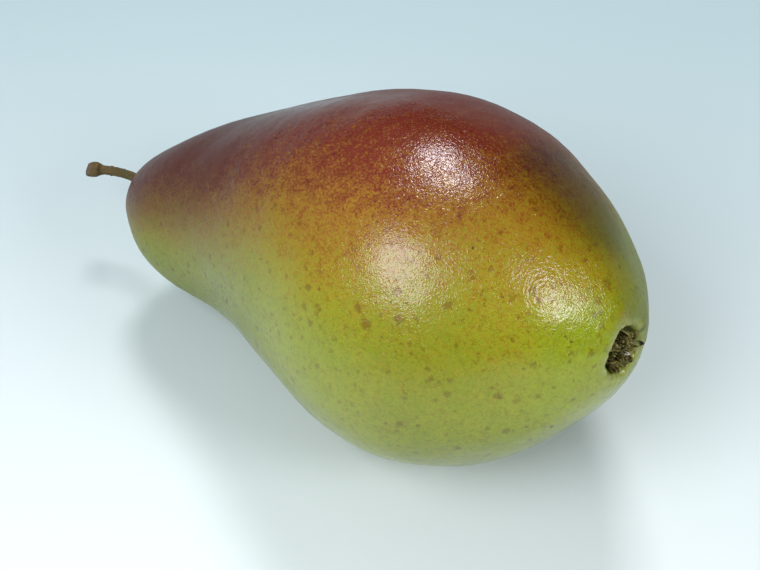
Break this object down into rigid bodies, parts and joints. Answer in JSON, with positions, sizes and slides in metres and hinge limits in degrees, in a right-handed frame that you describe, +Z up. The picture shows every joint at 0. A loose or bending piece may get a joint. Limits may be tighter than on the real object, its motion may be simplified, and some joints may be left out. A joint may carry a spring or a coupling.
{
  "type": "pear",
  "caption": "Ripe pear lying on its side, with a short bent stem and a dried calyx in the crown.",
  "frame": {"origin": "middle of the bounding box, on the table the pear lies on", "axes": "+X from the stem towards the crown, along the length; +Z up"},
  "size_m": [0.1294, 0.0722, 0.0722],
  "materials": {
    "skin": "waxy smooth skin, yellow green with a red blush",
    "stalk": "dull bark",
    "dried_calyx": "dry and papery"
  },
  "bodies": {
    "root": {"fruit": "skin", "stem": "stalk", "calyx": "dried_calyx"}
  },
  "joints": []
}
